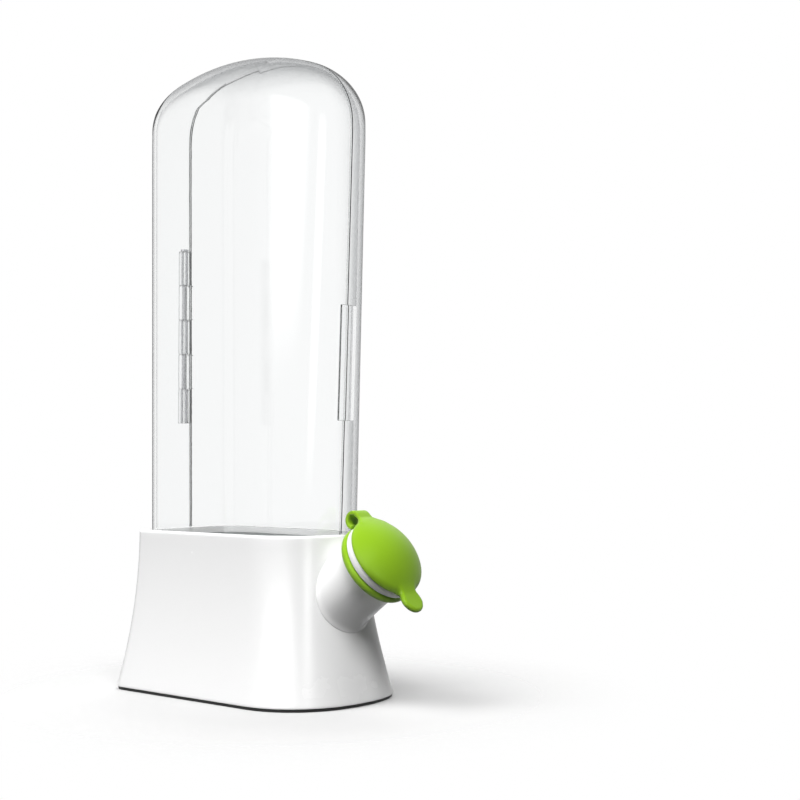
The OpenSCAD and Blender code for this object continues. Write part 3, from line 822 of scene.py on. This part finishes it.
def dome_row(a, d, y0):
    """Row of the rounded top: outline drawn in by half width * (1 - cos(a)^(2/p)), height ridge
    less rise * (1 - sin(a)^(2/p))."""
    c, s = max(np.cos(a), 0) ** (2 / DOME_POWER), np.sin(a) ** (2 / DOME_POWER)
    v0 = inset(pod_at(SHOULDER_Z), d)
    half = v0[1] * c
    v = np.array([v0[0] - v0[1] + half, half, min(v0[2], 0.9 * half), v0[3], v0[4] - v0[1] + half, v0[5]])
    h = half_outline(v)
    y = y0 + h[:, 1] * (half - y0 * c) / max(half, 1e-9)
    return np.column_stack([h[:, 0], y, ridge_z(h[:, 0]) - d - DOME_RISE * (1 - s)])


UPPER = np.append(np.linspace(DOOR_Z, SHOULDER_Z - LAST_ROW, WALL_ROWS), SHOULDER_Z)
DOME = np.radians(np.concatenate([np.arange(1.5, 60, 1.5), np.arange(60, 88, 1.0), [88.5, 90]]))


def upper_rows(d, y0):
    """Rows from the door's lower edge to the ridge."""
    return [wall_row(z, d, y0) for z in UPPER] + [dome_row(a, d, y0) for a in DOME]


print("rows from the door's lower edge to the ridge:", len(UPPER) + len(DOME))

# %% [markdown]
# The door is a half shell. The fixed half is another, which also carries the full lower ring that
# stands in the base, with a ledge inside that the grate lies on. Below the ring's top both halves
# meet, so the edges along the seam are only made above it.

# %% The two shells
LEDGE_IN, LEDGE_TOP = POD_WALL + LEDGE_W, POD_BOTTOM + LEDGE_H
RING_MIDDLE, RING_TOP = 38.0, DOOR_Z - 0.5


def half_shell(outer, inner, seam_from=0):
    """Points and faces of a half shell: outside, inside, lower and upper edges, and the two seam
    edges from row seam_from upwards."""
    outer, inner = np.array(outer), np.array(inner)
    m, n = outer.shape[:2]
    points = np.concatenate([outer.reshape(-1, 3), inner.reshape(-1, 3)])
    number = np.arange(2 * m * n).reshape(2, m, n)
    edges = [number[:, 0, :], number[:, -1, :], number[:, seam_from:, 0], number[:, seam_from:, -1]]
    faces = [grid_faces(m, n), grid_faces(m, n, start=m * n)]
    faces += [np.stack([e[0, :-1], e[0, 1:], e[1, 1:], e[1, :-1]], -1) for e in edges]
    return points, np.concatenate(faces)


outer = [wall_row(POD_BOTTOM + up, d, 0) for d, up in SOFT_EDGE]
outer += [wall_row(z, 0, 0) for z in (LEDGE_TOP, LEDGE_TOP + 0.5, RING_MIDDLE, RING_TOP)]
inner = [wall_row(POD_BOTTOM + up, LEDGE_IN - d, 0) for d, up in SOFT_EDGE]
inner += [wall_row(LEDGE_TOP, d, 0) for d in (LEDGE_IN, POD_WALL)]
inner += [wall_row(z, POD_WALL, 0) for z in (RING_MIDDLE, RING_TOP)]
low_points, low_faces = half_shell(outer, inner, seam_from=len(outer))
high_outer, high_inner = outer + upper_rows(0, 0), inner + upper_rows(POD_WALL, 0)
high_points, high_faces = half_shell(high_outer, high_inner, seam_from=len(outer) - 1)
points = np.concatenate([low_points, high_points * [1, -1, 1]])
faces = [*low_faces.tolist(), *(high_faces + len(low_points)).tolist()]
pod_shell = as_object("pod_shell", points, faces, clear_shell, None)
points, faces = half_shell(upper_rows(0, DOOR_Y), upper_rows(POD_WALL, DOOR_Y))
door_shell = as_object("door_shell", points, faces.tolist(), clear_shell, None)

# %% [markdown]
# ## Hinge and clip
# Five knuckles on the back take turns: three belong to the fixed half and two to the door. They
# and the clip are joined to their shells with booleans, because two overlapping clear solids would
# show every hidden edge. The bore for the pin is cut through all of a shell's knuckles at once.

# %% The hinge's knuckles
HINGE_X, HINGE_FROM, HINGE_LEN, KNUCKLES = -58.3296, 118.4, 80.0, 5
KNUCKLE_R, KNUCKLE_GAP, KNUCKLE_EDGE, KNUCKLE_SINK = 2.6, 0.3, 0.25, 1.2
PIN_R, PIN_N = 1.05, 48
KNUCKLE_H = (HINGE_LEN - (KNUCKLES - 1) * KNUCKLE_GAP) / KNUCKLES


def upright(shape, z0, z1, edge):
    """A flat shape carried upwards, with small bevelled ends: its points drawn in towards its middle."""
    middle = shape.mean(0)
    small = middle + (shape - middle) * (1 - edge / np.abs(shape - middle).max(0))
    rows = [(small, z0), (shape, z0 + edge), (shape, z1 - edge), (small, z1)]
    return np.array([np.column_stack([s, np.full(len(s), z)]) for s, z in rows])


def knuckle_shape(side):
    """A knuckle seen from above: a half circle, drawn out on one side into the wall and rounded off
    by a few points towards it."""
    a = np.radians(np.linspace(90, 270, 25))
    wall_x = -pod_at(HINGE_FROM)[0] + KNUCKLE_SINK
    round_part = np.stack([KNUCKLE_R * np.cos(a), KNUCKLE_R * np.sin(a)], 1) + [HINGE_X, 0]
    root = [[HINGE_X + 0.6, -KNUCKLE_R], [wall_x, -KNUCKLE_R], [wall_x, -DOOR_Y]]
    front = [[HINGE_X + KNUCKLE_R, -DOOR_Y], [HINGE_X + 0.9 * KNUCKLE_R, 1.0],
             [HINGE_X + 0.6 * KNUCKLE_R, 0.8 * KNUCKLE_R]]
    return np.concatenate([round_part, root, front]) * [1, -side]


def add_knuckles(shell, first, side):
    """Every second knuckle joined to its shell, and the bore for the pin cut through them."""
    for k in range(first, KNUCKLES, 2):
        z = HINGE_FROM + k * (KNUCKLE_H + KNUCKLE_GAP)
        rows = upright(knuckle_shape(side), z, z + KNUCKLE_H, KNUCKLE_EDGE)
        with_boolean(shell, as_rod("knuckle_part", rows, clear_shell, None), "UNION")
    a = np.arange(PIN_N) * 2 * np.pi / PIN_N
    circle = np.stack([HINGE_X + PIN_R * np.cos(a), PIN_R * np.sin(a)], 1)
    heights = (HINGE_FROM - 1, HINGE_FROM + HINGE_LEN + 1)
    rows = np.array([np.column_stack([circle, np.full(PIN_N, z)]) for z in heights])
    with_boolean(shell, as_rod("pin_part", rows, clear_shell, None), "DIFFERENCE")


add_knuckles(pod_shell, 0, -1)
add_knuckles(door_shell, 1, 1)
print("each knuckle is", round(KNUCKLE_H, 2), "mm tall")

# %% [markdown]
# The clip is a flat plate that grows from the door at the nose and reaches over the seam, with a
# small gap to the fixed half. It leans with the nose. Its bevels meet its flat sides at 22.5
# degrees, so the shells are shaded with a smaller angle, or the plate would look wavy.

# %% The clip, and the finished shells
CLIP_FROM, CLIP_LEN, CLIP_W, CLIP_T, CLIP_GAP = 118.4, 48.8, 9.6, 1.0, 0.35
ROOT_W, ROOT_SINK, CLIP_BEVEL, CLEAR_ANGLE = 2.4, 1.3, 0.28, 18
lean = np.arctan(NOSE_LEAN / (SHOULDER_Z - RIM_Z))
tilt = np.array([[np.cos(lean), 0, np.sin(lean)], [0, 1, 0], [-np.sin(lean), 0, np.cos(lean)]])
clip_mid = CLIP_FROM + CLIP_LEN / 2
clip_at = np.array([pod_at(clip_mid)[4], 0, clip_mid])
sunk, half_w = -ROOT_SINK - CLIP_GAP, CLIP_W / 2
plate = np.array([[0, -half_w], [CLIP_T, -half_w], [CLIP_T, half_w], [sunk, half_w],
                  [sunk, half_w - ROOT_W], [0, half_w - ROOT_W]]) + [CLIP_GAP, 0]
plate_ends = (-CLIP_LEN / 2, CLIP_LEN / 2)
plate_rows = np.array([np.column_stack([plate, np.full(len(plate), z)]) for z in plate_ends])
clip = as_rod("clip_part", plate_rows @ tilt.T + clip_at, clear_shell, None)
edges = clip.modifiers.new("edges", "BEVEL")
edges.width, edges.segments, edges.limit_method = CLIP_BEVEL * MM, 2, "ANGLE"
with_boolean(door_shell, clip, "UNION")
for shell, body, node in ((pod_shell, "pod", "pod_body"), (door_shell, "door", "pod_door")):
    shade(shell, CLEAR_ANGLE)
    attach(shell, body)
    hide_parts(node)
    print(shell.name, len(shell.data.polygons), "faces")

# %% [markdown]
# ## The seal along the seam
# A thin grey strip lies between the pod's halves. It shows through the clear wall as a fine line
# down the nose, over the ridge and down the back. It is a small four-sided section carried along
# the seam, between two copies of the seam line that are drawn in by different amounts.

# %% The seam's seal
SEAL_IN = 0.4


def seam_line(d):
    """The seam, drawn in by d: up the back, along the ridge and down the nose."""
    rows = np.array(upper_rows(d, 0.0))
    return np.concatenate([rows[:-1, 0], rows[-1], rows[-2::-1, -1]])


out_line, in_line = seam_line(SEAL_IN), seam_line(POD_WALL - SEAL_IN)
across = np.array([0, SEAL_T, 0])
seal_rows = np.stack([out_line, out_line + across, in_line + across, in_line], 1)
seam_seal = as_rod("seam_seal", seal_rows, seal_rubber, "pod")
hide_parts("door_seal")

# %% [markdown]
# ## The foot, and the pieces that stay as solids
# A soft ring under the base keeps it from sliding. It is a band between two outlines with a
# slightly rounded edge, and its near-black colour is painted shade: it draws the dark line of the
# gap under the base's edge. The floor plate, the grate, the pin and the hidden seals already have
# their right shapes, so they only get a finish.

# %% Foot ring and finishes of the other pieces
FOOT_IN, FOOT_W = 0.7, 5.0
FOOT_EDGE = ((0.35, 0.0), (0.1, 0.1), (0.0, 0.35), (0.0, FOOT_H))
foot_out = [ring(inset(AT_FOOT, FOOT_IN + d), z) for d, z in FOOT_EDGE]
foot_in = [ring(inset(AT_FOOT, FOOT_IN + FOOT_W - d), z) for d, z in FOOT_EDGE[::-1]]
# near-black foot colour: painted shade in the gap under the base
foot = as_tube("foot", np.array(foot_out + foot_in), foot_rubber_painted_shade, "base")
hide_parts("foot_ring")
finishes = {"floor_plate": white_shell, "stem_grate": white_shell, "floor_seal": seal_rubber,
            "mouth_seal": seal_rubber, "hinge_pin": steel_pin}
for name, finish in finishes.items():
    node = nodes[name]
    node.data.materials.clear()
    node.data.materials.append(finish)
    print(name, "is finished as", finish.name)

# %% [markdown]
# ## Floor and backdrop
# The keeper stands on a plain white floor. For the rays that the eye follows, straight, mirrored or
# through the pod, the floor is lifted towards white by a little glow, and it still takes shadows.
# For light that bounces on to the keeper it is darker, so that the white base keeps its shading.
# Away from the keeper the floor fades into the backdrop, which is the world's own white.

# %% The floor
FLOOR_SEEN, FLOOR_BOUNCE, FLOOR_LIFT, FLOOR_SIZE = 0.485, 0.06, 0.12, 8
FADE_FROM, FADE_TO = 0.05, 0.17


def floor_material():
    """White floor: diffuse paint plus a glow for the rays that the eye follows, which fades out
    smoothly between two distances from the keeper."""
    m, t, _ = new_material("studio_floor")
    t.nodes.clear()
    paint = two_tones(t, any_ray(t, "Is Diffuse Ray"), (FLOOR_SEEN,) * 3, (FLOOR_BOUNCE,) * 3)
    diffuse = add(t, "ShaderNodeBsdfDiffuse")
    t.links.new(paint, diffuse.inputs["Color"])
    glow = add(t, "ShaderNodeEmission")
    followed = any_ray(t, "Is Camera Ray", "Is Glossy Ray", "Is Transmission Ray")
    t.links.new(times(t, followed, FLOOR_LIFT), glow.inputs["Strength"])
    total = add(t, "ShaderNodeAddShader")
    t.links.new(diffuse.outputs[0], total.inputs[0])
    t.links.new(glow.outputs[0], total.inputs[1])
    place = add(t, "ShaderNodeTexCoord")
    away = add(t, "ShaderNodeVectorMath", operation="LENGTH")
    fade = add(t, "ShaderNodeMapRange", interpolation_type="SMOOTHSTEP", in_From_Min=FADE_FROM,
               in_From_Max=FADE_TO)
    t.links.new(place.outputs["Object"], away.inputs[0])
    t.links.new(away.outputs["Value"], fade.inputs["Value"])
    nothing = add(t, "ShaderNodeBsdfTransparent")
    surface = mixed(t, fade.outputs[0], total.outputs[0], nothing.outputs[0])
    t.links.new(surface, add(t, "ShaderNodeOutputMaterial").inputs["Surface"])
    return m


bpy.ops.mesh.primitive_plane_add(size=FLOOR_SIZE)
floor = bpy.context.object
floor.name = "studio_floor"
floor.data.materials.append(floor_material())
print("the floor fades out from", FADE_FROM, "to", FADE_TO, "m")

# %% [markdown]
# The world is white, with a strength for each kind of ray: full where the camera sees it straight
# or through the pod, less in mirror images, and little as light on the keeper.

# %% The world
SOFT_GLOW, MIRROR_GLOW, BACKDROP_GLOW = 0.08, 0.45, 1.0
world = bpy.context.scene.world or bpy.data.worlds.new("studio")
bpy.context.scene.world = world
world.use_nodes = True
t = world.node_tree
t.nodes.clear()
soft, mirror, backdrop = [add(t, "ShaderNodeBackground", in_Color=(1, 1, 1, 1), in_Strength=glow).outputs[0]
                          for glow in (SOFT_GLOW, MIRROR_GLOW, BACKDROP_GLOW)]
light = mixed(t, any_ray(t, "Is Glossy Ray"), soft, mirror)
whole = mixed(t, any_ray(t, "Is Camera Ray", "Is Transmission Ray"), light, backdrop)
t.links.new(whole, add(t, "ShaderNodeOutputWorld").inputs["Surface"])
print("the backdrop is white to the camera")

# %% [markdown]
# ## The lamps
# Three soft lamps light the keeper: from behind, from the front left and from beside the camera.
# Gloss as smooth as this would mirror their square shapes, so they are kept out of mirror images.
# Two wide lamps do the opposite: they show in mirror images alone, and their glow fades towards
# their edges, as a studio's light tents do. No lamp shows through the clear pod.

# %% The lamps
SOFT_LAMPS = (("back_box", (-0.5, 0.75, 0.95), (0.8, 0.8), 9.0),
              ("main_box", (-0.38, -0.76, 1.15), (0.7, 0.7), 21.0),
              ("fill_box", (0.75, -0.5, 0.9), (0.5, 0.5), 12.5))
GLOSS_LAMPS = (("sheen_box", (0.22, -1.08, 0.46), (1.5, 0.66), 14.0),
               ("strip_box", (1.08, -0.53, 0.28), (0.4, 0.66), 3.2))
SOFT_TARGET, GLOSS_TARGET = Vector((0, 0, 0.08)), Vector((0, 0, 0.03))
EVEN_SHARE, EDGE_SHARE = 0.14, 0.5


def soft_box(name, place, size, power, target):
    """A rectangular lamp at a place, facing the target; all in metres, power in watts."""
    lamp = bpy.data.lights.new(name, "AREA")
    lamp.shape, lamp.size, lamp.size_y, lamp.energy = "RECTANGLE", *size, power
    o = bpy.data.objects.new(name, lamp)
    o.location = place
    o.rotation_euler = (target - Vector(place)).to_track_quat("-Z", "Y").to_euler()
    o.visible_transmission = False
    bpy.context.scene.collection.objects.link(o)
    return o


def soften_edges(lamp):
    """Let a lamp's glow fall smoothly to nothing from EVEN_SHARE of its size off the middle to its
    edge, so that its mirror image in gloss has soft sides."""
    lamp.use_nodes = True
    t = lamp.node_tree
    place = add(t, "ShaderNodeNewGeometry")
    off = add(t, "ShaderNodeVectorMath", operation="SUBTRACT")
    off.inputs[1].default_value = (0.5, 0.5, 0)
    size = add(t, "ShaderNodeVectorMath", operation="ABSOLUTE")
    part = add(t, "ShaderNodeSeparateXYZ")
    glow = add(t, "ShaderNodeMath", operation="MULTIPLY")
    t.links.new(place.outputs["Parametric"], off.inputs[0])
    t.links.new(off.outputs[0], size.inputs[0])
    t.links.new(size.outputs[0], part.inputs[0])
    for k in (0, 1):
        fall = add(t, "ShaderNodeMapRange", interpolation_type="SMOOTHSTEP", in_From_Min=EVEN_SHARE,
                   in_From_Max=EDGE_SHARE, in_To_Min=1.0, in_To_Max=0.0)
        t.links.new(part.outputs[k], fall.inputs["Value"])
        t.links.new(fall.outputs[0], glow.inputs[k])
    t.links.new(glow.outputs[0], t.nodes["Emission"].inputs["Strength"])


for lamp in SOFT_LAMPS:
    soft_box(*lamp, SOFT_TARGET).visible_glossy = False
for lamp in GLOSS_LAMPS:
    box = soft_box(*lamp, GLOSS_TARGET)
    box.visible_diffuse = False
    soften_edges(box.data)
bpy.context.scene.view_settings.view_transform = "Standard"
